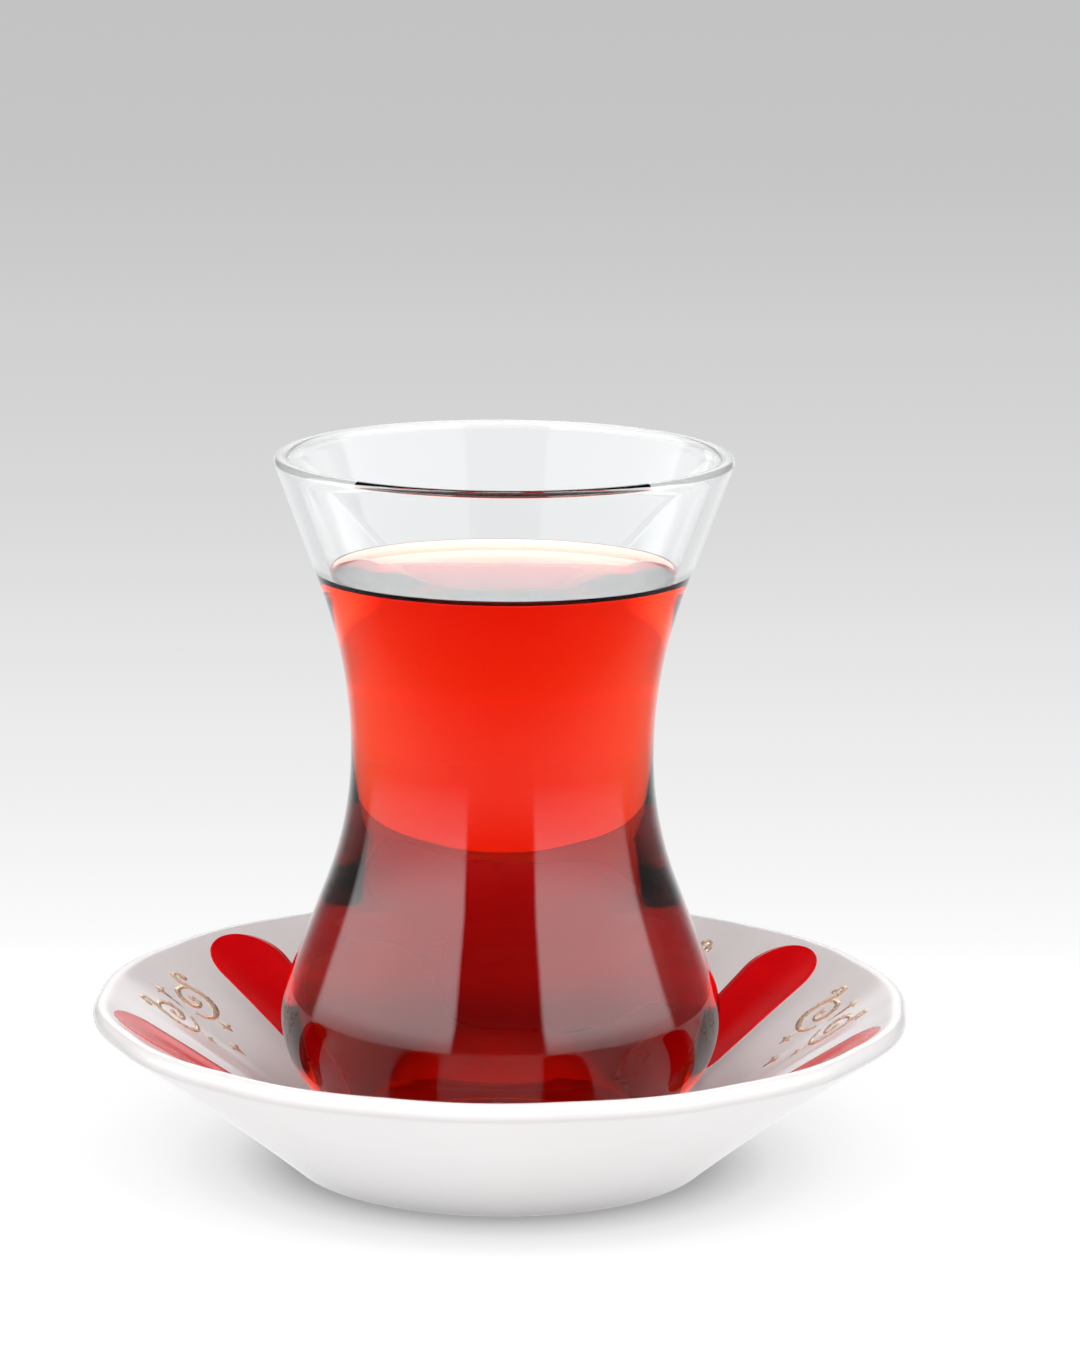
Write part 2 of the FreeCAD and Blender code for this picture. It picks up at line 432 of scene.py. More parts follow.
def grey_ramp(
    graph: Graph,
    value: bpy.types.NodeSocket,
    stops: Sequence[Pair],
    width: float,
    zero: float = 0.0,
    cast: Colour = (1.0, 1.0, 1.0),
) -> bpy.types.NodeSocket:
    """Adds a ramp of greys over a value.

    Args:
        graph: Graph to add to.
        value: What the ramp reads.
        stops: (value, grey) pairs.
        width: How much of the value the whole ramp covers.
        zero: Where on the ramp the value is zero, from 0 to 1.
        cast: How much of the grey red, green and blue get.

    Returns:
        The grey.
    """
    node = graph.add("ShaderNodeValToRGB")
    graph.join(graph.math("ADD", graph.math("DIVIDE", value, width), zero), node.inputs[0])
    elements = node.color_ramp.elements
    while len(elements) < len(stops):
        elements.new(0.5)
    for element, (place, grey) in zip(elements, stops):
        element.position = place / width + zero
        element.color = rgba(tuple(grey * share for share in cast))
    return node.outputs[0]


def uneven(graph: Graph, shader: bpy.types.Node, size: float, height: float) -> None:
    """Gives a surface gentle waves by bump.

    Args:
        graph: Graph to add to.
        shader: Shader whose normal is changed.
        size: Width of the waves.
        height: Height of the waves.
    """
    bump = graph.add("ShaderNodeBump")
    graph.join(noise(graph, size), bump.inputs["Height"])
    bump.inputs["Distance"].default_value = height
    graph.join(bump.outputs[0], shader.inputs["Normal"])


@dataclass(frozen=True)
class GlazeFinish:
    """White glazed porcelain.

    Attributes:
        white: Colour of the body under the glaze.
        warm: Colour that it drifts to in soft patches.
        patch: Width of those patches.
        wave: Width of the glaze's waves.
        wave_height: Height of the glaze's waves.
    """

    white: Colour = (0.92, 0.9, 0.9)
    warm: Colour = (0.91, 0.875, 0.87)
    patch: float = 0.022
    wave: float = 0.009
    wave_height: float = 0.00005

    def material(self) -> bpy.types.Material:
        """Builds the material."""
        material, graph, shader = principled("porcelain_glaze")
        patches = noise(graph, self.patch)
        graph.join(tone(graph, patches, self.white, self.warm), shader.inputs["Base Color"])
        graph.join(spread(graph, noise(graph, self.wave), 0.10, 0.16), shader.inputs["Roughness"])
        shader.inputs["IOR"].default_value = 1.5
        uneven(graph, shader, self.wave, self.wave_height)
        return material


@dataclass(frozen=True)
class EnamelFinish:
    """Red enamel print, fired on the glaze.

    Attributes:
        red: Main colour.
        deep: Colour where the print lies thicker.
        patch: Width of the thicker patches.
    """

    red: Colour = (0.92, 0.003, 0.006)
    deep: Colour = (0.8, 0.001, 0.004)
    patch: float = 0.006

    def material(self) -> bpy.types.Material:
        """Builds the material."""
        material, graph, shader = principled("red_enamel")
        patches = noise(graph, self.patch, 3.0)
        graph.join(tone(graph, patches, self.red, self.deep), shader.inputs["Base Color"])
        graph.join(spread(graph, patches, 0.14, 0.2), shader.inputs["Roughness"])
        shader.inputs["IOR"].default_value = 1.5
        uneven(graph, shader, self.patch, 0.00002)
        return material


@dataclass(frozen=True)
class GoldFinish:
    """Burnished rose-gold print.

    Attributes:
        bright: Colour of the burnished metal.
        dull: Colour where the print is thin.
        patch: Width of the thin places.
    """

    bright: Colour = (0.95, 0.74, 0.55)
    dull: Colour = (0.85, 0.56, 0.38)
    patch: float = 0.0012

    def material(self) -> bpy.types.Material:
        """Builds the material."""
        material, graph, shader = principled("rose_gold_print")
        patches = noise(graph, self.patch, 3.0)
        graph.join(tone(graph, patches, self.bright, self.dull), shader.inputs["Base Color"])
        graph.join(spread(graph, patches, 0.2, 0.34), shader.inputs["Roughness"])
        shader.inputs["Metallic"].default_value = 0.5
        return material


@dataclass(frozen=True)
class GlassFinish:
    """Clear polished glass.

    Attributes:
        name: Name of the material.
        bend: Index of refraction.
        gloss: How much of its usual reflection the surface keeps.
        tint: Colour of what passes through the surface.
        haze: Share of the light that the surface scatters.
    """

    name: str
    bend: float = 1.5
    gloss: float = 1.0
    tint: Colour = (0.985, 0.992, 0.99)
    haze: float = 0.0

    def material(self) -> bpy.types.Material:
        """Builds the material."""
        material, graph, shader = principled(self.name)
        shader.inputs["Base Color"].default_value = rgba(self.tint)
        shader.inputs["Roughness"].default_value = 0.0
        shader.inputs["IOR"].default_value = self.bend
        shader.inputs["Transmission Weight"].default_value = 1.0 - self.haze
        shader.inputs["Specular Tint"].default_value = rgba((self.gloss,) * 3)
        bump = graph.add("ShaderNodeBump")
        graph.join(noise(graph, 0.03), bump.inputs["Height"])
        bump.inputs["Distance"].default_value = 0.00002
        graph.join(bump.outputs[0], shader.inputs["Normal"])
        return material


@dataclass(frozen=True)
class TeaFinish:
    """Clear brewed black tea.

    Attributes:
        name: Name of the material.
        bend: Index of refraction.
        gloss: How much of its usual reflection the surface keeps.
        soak: Share of each colour that the tea lets pass, against what it soaks up most.
        strength: Soaking up of the colour that passes least, per metre.
    """

    name: str
    bend: float = 1.333
    gloss: float = 1.0
    soak: Colour = (0.92, 0.31, 0.0)
    strength: float = 165.0

    def material(self) -> bpy.types.Material:
        """Builds the material."""
        material, graph, shader = principled(self.name)
        shader.inputs["Base Color"].default_value = rgba((1.0, 1.0, 1.0))
        shader.inputs["Roughness"].default_value = 0.0
        shader.inputs["IOR"].default_value = self.bend
        shader.inputs["Transmission Weight"].default_value = 1.0
        shader.inputs["Specular Tint"].default_value = rgba((self.gloss,) * 3)
        body = graph.add("ShaderNodeVolumeAbsorption")
        body.inputs["Color"].default_value = rgba(self.soak)
        body.inputs["Density"].default_value = self.strength
        output = next(n for n in graph.tree.nodes if n.type == "OUTPUT_MATERIAL")
        graph.join(body.outputs[0], output.inputs["Volume"])
        return material


# ------------------------------------------------------------------------------ saucer


@dataclass
class FlutedForm:
    """Shape of the saucer: a profile turned round the axis and pressed into flutes.

    Attributes:
        rim: Radius of the middle of the rounded lip, over a flute's hollow.
        height: Top of the lip.
        lip: Half the thickness of the lip.
        foot: Outer radius of the foot ring.
        ring: Width of the foot ring.
        hollow: Depth of the underside inside the ring.
        foot_curve: Rounding between the ring and the outer wall.
        foot_round: Rounding of the ring's inner edge.
        well: Height of the flat floor.
        well_radius: Radius of the flat floor.
        bend: Radius of the curve between floor and inner wall.
        flutes: Number of flutes.
        bow: How far the outer wall is bowed inwards, half way up.
        depth: Hollow of a flute behind its ridges, on the inner wall.
        lip_depth: The same at the lip.
        turn: Degrees that the first flute stands off the front.
        softness: Rounding of the ridges, 0 for knife-sharp.
        fade: Height up to which the outer wall is plainly round.
        run_out: Rise above the well in which the flutes reach full depth.
        run_in: Fall below the lip in which they do.
    """

    rim: float = 55.17 * MM
    height: float = 23.36 * MM
    lip: float = 1.4 * MM
    foot: float = 29.5 * MM
    ring: float = 4.0 * MM
    hollow: float = 2.2 * MM
    foot_curve: float = 1.6 * MM
    foot_round: float = 0.8 * MM
    well: float = 5.6 * MM
    well_radius: float = 25.5 * MM
    bend: float = 10.0 * MM
    flutes: int = 14
    bow: float = 0.4 * MM
    depth: float = 1.0 * MM
    lip_depth: float = 0.4 * MM
    turn: float = -3.0
    softness: float = 0.22
    fade: float = 10.5 * MM
    run_out: float = 2.5 * MM
    run_in: float = 6.0 * MM

    def __post_init__(self) -> None:
        """Works out the places that the profile hangs on."""
        self.heel = (self.foot - self.foot_curve, self.foot_curve)
        self.lip_middle = (self.rim, self.height - self.lip)
        self.bend_middle = (self.well_radius, self.well + self.bend)
        self.outside = tangent_angle(self.heel, self.lip_middle, self.foot_curve - self.lip)
        self.inside = tangent_angle(self.bend_middle, self.lip_middle, self.bend + self.lip) + 180
        self.wall_top = on_circle(self.lip_middle, self.lip, self.inside)
        self.wall_foot = on_circle(self.bend_middle, self.bend, self.inside - 180)
        self.wall_slope, self.wall_length = slope(self.wall_foot, self.wall_top)

    def flute(self, turn: float) -> float:
        """Radial place of the wall across a flute.

        Args:
            turn: Place round the axis in flutes, whole in the middle of each hollow.

        Returns:
            0 on a ridge and 1 in the middle of a hollow.
        """
        swell = math.hypot(math.cos(math.pi * turn), self.softness) - self.softness
        return swell / (math.hypot(1, self.softness) - self.softness)

    def outside_depth(self, height: float) -> float:
        """Depth of the flutes on the outer wall at a height."""
        share = (height - self.fade) / (self.lip_middle[1] - self.fade)
        return self.lip_depth * min(1.0, max(0.0, share)) ** 1.5

    def inside_depth(self, height: float) -> float:
        """Depth of the flutes on the inner wall at a height.

        Args:
            height: Height above the table.

        Returns:
            The depth, less towards the lip and none in the well.
        """
        fall = min(1.0, max(0.0, (self.lip_middle[1] - height) / self.run_in))
        full = self.lip_depth + (self.depth - self.lip_depth) * fall
        return full * min(1.0, max(0.0, (height - self.well) / self.run_out))

    def bowed(self, start: Pair, end: Pair, count: int) -> list[Pair]:
        """Points of the outer wall between two ends, bowed inwards.

        Args:
            start: Lower end.
            end: Upper end.
            count: How many points.

        Returns:
            The points, without the ends.
        """
        points = []
        for i, place in enumerate(between(start, end, count)):
            way = (i + 1) / (count + 1)
            points.append(on_circle(place, -self.bow * 4 * way * (1 - way), self.outside))
        return points

    def profile(self) -> list[tuple[float, float, float]]:
        """Rows of the profile, from the axis underneath round the lip to the axis inside.

        Returns:
            (radius, height, depth of the flutes) for each row.
        """
        ring_inside = self.foot - self.ring
        corner = (ring_inside + self.foot_round, self.foot_round)
        under = [(0.0, self.hollow)]
        under += between((0.0, self.hollow), (ring_inside, self.hollow), 5)
        under += arc_points((ring_inside - 0.5 * MM, self.hollow - 0.5 * MM), 0.5 * MM, 90, 0, 5)
        under += arc_points(corner, self.foot_round, 180, 270, 6)
        under += between((corner[0], 0.0), (self.heel[0], 0.0), 2)
        under += arc_points(self.heel, self.foot_curve, -90, self.outside, 8)
        around = arc_points(self.lip_middle, self.lip, self.outside, self.inside, 17)
        outer = self.bowed(under[-1], around[0], 30)
        well = arc_points(self.bend_middle, self.bend, self.inside - 180, -90, 14)
        inner = between(around[-1], well[0], 34)
        floor = between(well[-1], (0.0, self.well), 8) + [(0.0, self.well)]

        rows = [(r, z, 0.0) for r, z in under]
        rows += [(r, z, self.outside_depth(z)) for r, z in outer]
        rows += [(r, z, self.lip_depth) for r, z in around]
        rows += [(r, z, self.inside_depth(z)) for r, z in inner + well]
        rows += [(r, z, 0.0) for r, z in floor]
        return rows

    def on_wall(self, down: float, across: float) -> np.ndarray:
        """Place on the inner wall.

        Args:
            down: Way along the wall from the lip's inner edge towards the well.
            across: Way sideways from the middle of the flute at angle zero.

        Returns:
            The point as x, y, z.
        """
        share = down / self.wall_length
        radius = self.wall_top[0] + (self.wall_foot[0] - self.wall_top[0]) * share
        height = self.wall_top[1] + (self.wall_foot[1] - self.wall_top[1]) * share
        if share > 1:
            beyond = math.degrees((down - self.wall_length) / self.bend)
            radius, height = on_circle(self.bend_middle, self.bend, self.inside - 180 - beyond)
        angle = across / radius
        hollow = self.flute(angle / math.tau * self.flutes) - 1
        radius += self.inside_depth(height) * hollow
        return np.array(turned_point(radius, height, angle))

    def lifted(self, down: float, across: float, lift: float) -> np.ndarray:
        """Place a little above the inner wall.

        Args:
            down: Way along the wall from the lip's inner edge.
            across: Way sideways from the middle of the flute.
            lift: Height above the glaze.

        Returns:
            The point as x, y, z.
        """
        step = 0.05 * MM
        along = self.on_wall(down + step, across) - self.on_wall(down - step, across)
        aside = self.on_wall(down, across + step) - self.on_wall(down, across - step)
        normal = np.cross(along, aside)
        normal /= np.linalg.norm(normal) * math.copysign(1.0, normal[2])
        return self.on_wall(down, across) + lift * normal


@dataclass
class Saucer:
    """Fluted porcelain saucer.

    Attributes:
        form: Its shape.
        glaze: Its finish.
        columns: Mesh columns across one flute.
    """

    form: FlutedForm = field(default_factory=FlutedForm)
    glaze: GlazeFinish = field(default_factory=GlazeFinish)
    columns: int = 22

    def one_flute(self) -> bpy.types.Object:
        """Builds the slice of the saucer that holds one flute.

        Returns:
            The object, with the flute's middle at angle zero.
        """
        form = self.form
        rows = form.profile()
        points: list[tuple[float, float, float]] = []
        for radius, height, depth in rows:
            for column in range(self.columns + 1):
                turn = column / self.columns - 0.5
                wall = radius + depth * (form.flute(turn) - 1)
                points.append(turned_point(wall, height, turn * math.tau / form.flutes))
        wide = self.columns + 1
        faces: list[Face] = []
        for i in range(len(rows) - 1):
            for j in range(self.columns):
                a = i * wide + j
                if i == 0:
                    faces.append((a, a + 1 + wide, a + wide))
                elif i == len(rows) - 2:
                    faces.append((a, a + 1, a + wide))
                else:
                    faces.append((a, a + 1, a + 1 + wide, a + wide))
        return new_object("saucer_porcelain", np.array(points), faces)

    def build(self) -> list[bpy.types.Object]:
        """Makes the saucer and puts it in the CAD saucer's place.

        Returns:
            The saucer's piece.
        """
        piece = self.one_flute()
        ring = RingRepeat(self.form.flutes, self.form.turn, 0.002 * MM)
        ring.apply(piece, self.glaze.material())
        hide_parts(CadNode.SAUCER.value)
        return [piece]


# --------------------------------------------------------------------------- saucer's print


@dataclass
class Outline:
    """A flat drawing that is laid on the saucer's wall, as (down, across) in metres.

    Attributes:
        points: Its vertices.
        faces: Its faces, as vertex indices.
    """

    points: list[Pair] = field(default_factory=list)
    faces: list[Face] = field(default_factory=list)

    def add(self, points: Iterable[Pair], faces: Iterable[Face]) -> None:
        """Adds a shape to the drawing.

        Args:
            points: The shape's vertices.
            faces: Its faces, counted from its own first vertex.
        """
        start = len(self.points)
        self.points += list(points)
        self.faces += [tuple(i + start for i in face) for face in faces]

    def strip(self, left: Sequence[Pair], right: Sequence[Pair], across: int = 1) -> None:
        """Adds a band between two lines of equally many points.

        Args:
            left: One side of the band.
            right: Its other side.
            across: Faces from side to side.
        """
        points: list[Pair] = []
        for a, b in zip(left, right):
            points += [a, *between(a, b, across - 1), b]
        wide = across + 1
        faces = [
            (i * wide + j, i * wide + j + 1, (i + 1) * wide + j + 1, (i + 1) * wide + j)
            for i in range(len(left) - 1)
            for j in range(across)
        ]
        self.add(points, faces)

    def star(self, centre: Pair, reach: Sequence[float], waist: float) -> None:
        """Adds a four-pointed star.

        Args:
            centre: Its middle.
            reach: How far its points lie down, across, up and across from the middle.
            waist: Distance from the middle to the notches between the points.
        """
        ring: list[Pair] = []
        for i in range(4):
            ring.append(on_circle(centre, reach[i], 90 * i))
            ring.append(on_circle(centre, waist, 90 * i + 45))
        faces = [(0, 1 + i, 1 + (i + 1) % 8) for i in range(8)]
        self.add([centre, *ring], faces)

    def disc(self, centre: Pair, radius: float) -> None:
        """Adds a round dot.

        Args:
            centre: Its middle.
            radius: Its radius.
        """
        ring = [on_circle(centre, radius, 22.5 * i) for i in range(16)]
        self.add([centre, *ring], [(0, 1 + i, 1 + (i + 1) % 16) for i in range(16)])

    def mirrored(self) -> "Outline":
        """The same drawing on the other side of the flute's middle."""
        points = [(down, -across) for down, across in self.points]
        return Outline(points, [tuple(reversed(face)) for face in self.faces])


def stroke(path: Sequence[Pair], width: Callable[[float], float]) -> tuple[list[Pair], list[Pair]]:
    """Two sides of a pen stroke.

    Args:
        path: Points along the stroke's middle.
        width: Stroke's width at a share of its length.

    Returns:
        The left and the right side.
    """
    line = np.array(path)
    along = np.gradient(line, axis=0)
    along /= np.linalg.norm(along, axis=1)[:, None]
    aside = np.stack([-along[:, 1], along[:, 0]], axis=1)
    shares = np.linspace(0, 1, len(path))
    half = np.array([width(s) / 2 for s in shares])[:, None]
    left, right = line + aside * half, line - aside * half
    return [tuple(p) for p in left], [tuple(p) for p in right]


def flowing(places: Sequence[Pair], steps: int = 9) -> list[Pair]:
    """A smooth line through given places.

    Args:
        places: Places in order.
        steps: Points from each place to the next.

    Returns:
        The line's points, ends included.
    """
    line = [np.array(place) for place in places]
    ends = [2 * line[0] - line[1], *line, 2 * line[-1] - line[-2]]
    points = []
    for before, start, end, after in zip(ends, ends[1:], ends[2:], ends[3:]):
        for t in np.arange(steps) / steps:
            bend = 2 * before - 5 * start + 4 * end - after
            swing = 3 * start - before - 3 * end + after
            points.append(0.5 * (2 * start + (end - before) * t + bend * t**2 + swing * t**3))
    return [tuple(point) for point in [*points, line[-1]]]


@dataclass
class Print:
    """Print on the saucer's inner wall, in every other flute.

    Attributes:
        form: Shape of the saucer.
        rise: How far the print stands out of the glaze.
        root: How far its underside lies in the glaze.
    """

    form: FlutedForm
    rise: float = 0.04 * MM
    root: float = 0.06 * MM

    def lay(self, name: str, drawing: Outline) -> bpy.types.Object:
        """Lays a drawing on the wall as a thin closed shell.

        Args:
            name: Name of the object.
            drawing: What to lay, about the middle of a flute.

        Returns:
            The object, in the flute at angle zero.
        """
        top = [self.form.lifted(d, a, self.rise) for d, a in drawing.points]
        under = [self.form.lifted(d, a, -self.root) for d, a in drawing.points]
        count = len(drawing.points)
        edges = Counter()
        for face in drawing.faces:
            edges.update(zip(face, face[1:] + face[:1]))
        rim = [(a, b) for a, b in edges if (b, a) not in edges]
        faces = list(drawing.faces)
        faces += [tuple(i + count for i in reversed(face)) for face in drawing.faces]
        faces += [(b, a, a + count, b + count) for a, b in rim]
        return new_object(name, np.array(top + under), faces)

    def place(self, piece: bpy.types.Object, first: float, material: bpy.types.Material) -> None:
        """Repeats a print in every other flute.

        Args:
            piece: The print in the flute at angle zero.
            first: Number of flutes from the first flute to the first print.
            material: Its finish.
        """
        count = self.form.flutes // 2
        turn = self.form.turn + first * 360 / self.form.flutes
        RingRepeat(count, turn, 0.0).apply(piece, material)


@dataclass
class Petals(Print):
    """Red petals, one in every other flute.

    Attributes:
        start: Way down the wall to the petal's outer end.
        end: Way down the wall to its inner end.
        outer_half: Half its width near the outer end.
        inner_half: Half its width near the inner end.
        finish: Its colour.
    """

    start: float = 0.7 * MM
    end: float = 28.0 * MM
    outer_half: float = 7.2 * MM
    inner_half: float = 5.1 * MM
    finish: EnamelFinish = field(default_factory=EnamelFinish)

    def half_width(self, down: float) -> float:
        """Half the petal's width.

        Args:
            down: Way down the wall.

        Returns:
            Half the width there.
        """
        share = (down - self.start) / (self.end - self.start)
        half = self.outer_half + (self.inner_half - self.outer_half) * share
        near = min(1.0, (down - self.start) / (0.85 * self.outer_half))
        far = min(1.0, (self.end - down) / self.inner_half)
        return half * math.sqrt(max(0.0, 1 - (1 - near) ** 2)) * math.sqrt(max(0.0, 1 - (1 - far) ** 2))

    def drawing(self) -> Outline:
        """Draws one petal."""
        rows = 54
        middle, reach = (self.start + self.end) / 2, (self.end - self.start) / 2
        downs = [middle - reach * math.cos(math.pi * (i + 0.35) / (rows - 0.3)) for i in range(rows)]
        drawing = Outline()
        left = [(down, -self.half_width(down)) for down in downs]
        right = [(down, self.half_width(down)) for down in downs]
        drawing.strip(left, right, 16)
        return drawing

    def build(self) -> list[bpy.types.Object]:
        """Makes the petals.

        Returns:
            Their piece.
        """
        piece = self.lay("saucer_red_petals", self.drawing())
        self.place(piece, 1, self.finish.material())
        return [piece]


@dataclass
class Scrolls(Print):
    """Gold scroll ornaments, one in every flute between the petals.

    Attributes:
        outer: Places along the outer scroll in millimetres, from its hook near the lip.
        inner: Places along the scroll that branches off inside it.
        pen: Widest and thinnest stroke.
        dot: Radius of the balls that the scrolls end in.
        finish: Its metal.
    """

    outer: tuple[Pair, ...] = (
        (5.1, 7.3), (4.1, 7.2), (4.0, 6.2), (5.3, 5.8), (7.4, 6.3),
        (9.8, 6.5), (12.0, 5.4), (12.9, 3.5), (12.2, 1.9), (10.9, 1.0),
    )
    inner: tuple[Pair, ...] = (
        (7.2, 6.2), (6.4, 4.9), (6.6, 3.2), (7.9, 2.1), (9.5, 2.2), (10.3, 3.3), (9.7, 4.3), (8.7, 4.0),
    )
    pen: Pair = (1.05 * MM, 0.45 * MM)
    dot: float = 0.62 * MM
    finish: GoldFinish = field(default_factory=GoldFinish)

    def pen_width(self, share: float) -> float:
        """Width of the pen at a share of a stroke's length."""
        return self.pen[1] + (self.pen[0] - self.pen[1]) * math.sin(math.pi * share) ** 0.8

    def half(self) -> Outline:
        """Draws the half ornament on one side of the flute's middle."""
        drawing = Outline()
        for places in (self.outer, self.inner):
            line = flowing([(down * MM, across * MM) for down, across in places])
            drawing.strip(*stroke(line, self.pen_width))
        drawing.disc((self.outer[0][0] * MM, self.outer[0][1] * MM), self.dot)
        drawing.disc((self.inner[-1][0] * MM, self.inner[-1][1] * MM), self.dot)
        drawing.star((15.2 * MM, 3.5 * MM), [1.2 * MM, 1.1 * MM, 2.6 * MM, 1.1 * MM], 0.5 * MM)
        return drawing

    def drawing(self) -> Outline:
        """Draws the whole ornament."""
        drawing = self.half()
        other = drawing.mirrored()
        drawing.add(other.points, other.faces)
        drawing.star((5.2 * MM, 0.0), [4.2 * MM, 1.35 * MM, 1.5 * MM, 1.35 * MM], 0.5 * MM)
        drawing.star((18.6 * MM, 0.0), [2.0 * MM, 1.1 * MM, 1.6 * MM, 1.1 * MM], 0.65 * MM)
        return drawing

    def build(self) -> list[bpy.types.Object]:
        """Makes the ornaments.

        Returns:
            Their piece.
        """
        piece = self.lay("saucer_gold_scrolls", self.drawing())
        self.place(piece, 0, self.finish.material())
        return [piece]


# --------------------------------------------------------------------------- glass and tea


@dataclass
class TulipForm:
    """Shape of the waisted glass, as tangent arcs and straight sides.

    Heights are above the glass's underside, which stands at the saucer's well.

    Attributes:
        stand: Height of the well that the glass stands on.
        height: Height of the glass.
        rim: Outer radius under the rim's rounding.
        waist: Outer radius of the waist.
        waist_height: Height of the waist.
        belly: Outer radius of the belly.
        belly_height: Height of the belly's widest place.
        bulge: Radius of the belly's bulge.
        above: Radius of the hollow above the waist.
        below: Radius of the hollow below the waist.
        wall: Thickness of the wall.
        foot: Outer radius of the standing ring.
        ring: Width of the standing ring.
        recess: Dish under the base.
        heel: Rounding between standing ring and side.
        floor: Thickness of the base.
        floor_round: Rounding inside between floor and wall.
    """

    stand: float = 5.6 * MM
    height: float = 93.894 * MM
    rim: float = 31.4 * MM
    waist: float = 20.85 * MM
    waist_height: float = 52.4 * MM
    belly: float = 30.5 * MM
    belly_height: float = 15.4 * MM
    bulge: float = 14.2 * MM
    above: float = 67.0 * MM
    below: float = 50.0 * MM
    wall: float = 1.9 * MM
    foot: float = 19.5 * MM
    ring: float = 3.0 * MM
    recess: float = 1.0 * MM
    heel: float = 3.0 * MM
    floor: float = 5.6 * MM
    floor_round: float = 9.0 * MM

    def __post_init__(self) -> None:
        """Works out the circles' middles and the straight sides' angles."""
        self.rim_level = self.stand + self.height - self.wall / 2
        self.belly_middle = (self.belly - self.bulge, self.stand + self.belly_height)
        level = self.stand + self.waist_height
        self.below_middle = (self.waist + self.below, level)
        self.above_middle = (self.waist + self.above, level)
        self.flank = tangent_angle(self.belly_middle, self.below_middle, self.bulge + self.below)
        lean, apart = slope((self.rim, level), (self.above_middle[0], self.rim_level))
        self.flare = lean - math.degrees(math.acos(self.above / apart))

    def side(self, depth: float, start: float, top: float) -> list[Pair]:
        """Side of the glass, from the belly's bulge up.

        Args:
            depth: How far inside the outer surface it runs.
            start: Angle on the bulge where it begins.
            top: Height at which it ends.

        Returns:
            Its points in order.
        """
        points = arc_points(self.belly_middle, self.bulge - depth, start, self.flank, 30)
        hollow = arc_points(self.below_middle, self.below + depth, self.flank + 180, 180, 22)
        points += between(points[-1], hollow[0], 8) + hollow
        reach = self.above + depth
        rise = math.degrees(math.asin(min(1.0, (top - self.above_middle[1]) / reach)))
        points += arc_points(self.above_middle, reach, 180, 180 - min(rise, self.flare), 26)[1:]
        if rise > self.flare:
            low = points[-1]
            high = (low[0] + (top - low[1]) * math.tan(math.radians(self.flare)), top)
            points += between(low, high, 14) + [high]
        return points

    def underside(self) -> tuple[list[Pair], float]:
        """Underside of the glass, from the axis to the bulge.

        Returns:
            Its points and the angle on the bulge where they end.
        """
        inner = (self.foot - self.ring, self.stand)
        dish = (inner[0] ** 2 + self.recess**2) / (2 * self.recess)
        middle = (0.0, self.stand + self.recess - dish)
        heel = (self.foot, self.stand + self.heel)
        lower = tangent_angle(heel, self.belly_middle, self.heel - self.bulge)
        points = arc_points(middle, dish, 90, slope(middle, inner)[0], 12)
        points += between(inner, (self.foot, self.stand), 2)
        points += arc_points(heel, self.heel, -90, lower, 10)
        end = on_circle(self.belly_middle, self.bulge, lower)
        return points + between(points[-1], end, 3), lower

    def inside_floor(self, depth: float, sink: float = 0.0) -> tuple[list[Pair], float]:
        """Floor inside the glass, from the axis to the bulge.

        Args:
            depth: How far inside the outer surface the wall runs.
            sink: How far below the floor's surface it runs.

        Returns:
            Its points and the angle on the bulge where they end.
        """
        floor = self.stand + self.floor - sink
        corner_round = self.floor_round
        rise = floor + corner_round - self.belly_middle[1]
        out = math.sqrt((self.bulge - depth - corner_round) ** 2 - rise**2)
        corner = (self.belly_middle[0] + out, floor + corner_round)
        angle = slope(self.belly_middle, corner)[0]
        points = [(0.0, floor)] + between((0.0, floor), (corner[0], floor), 10)
        points += arc_points(corner, corner_round, -90, angle, 22)
        return points[:-1], angle


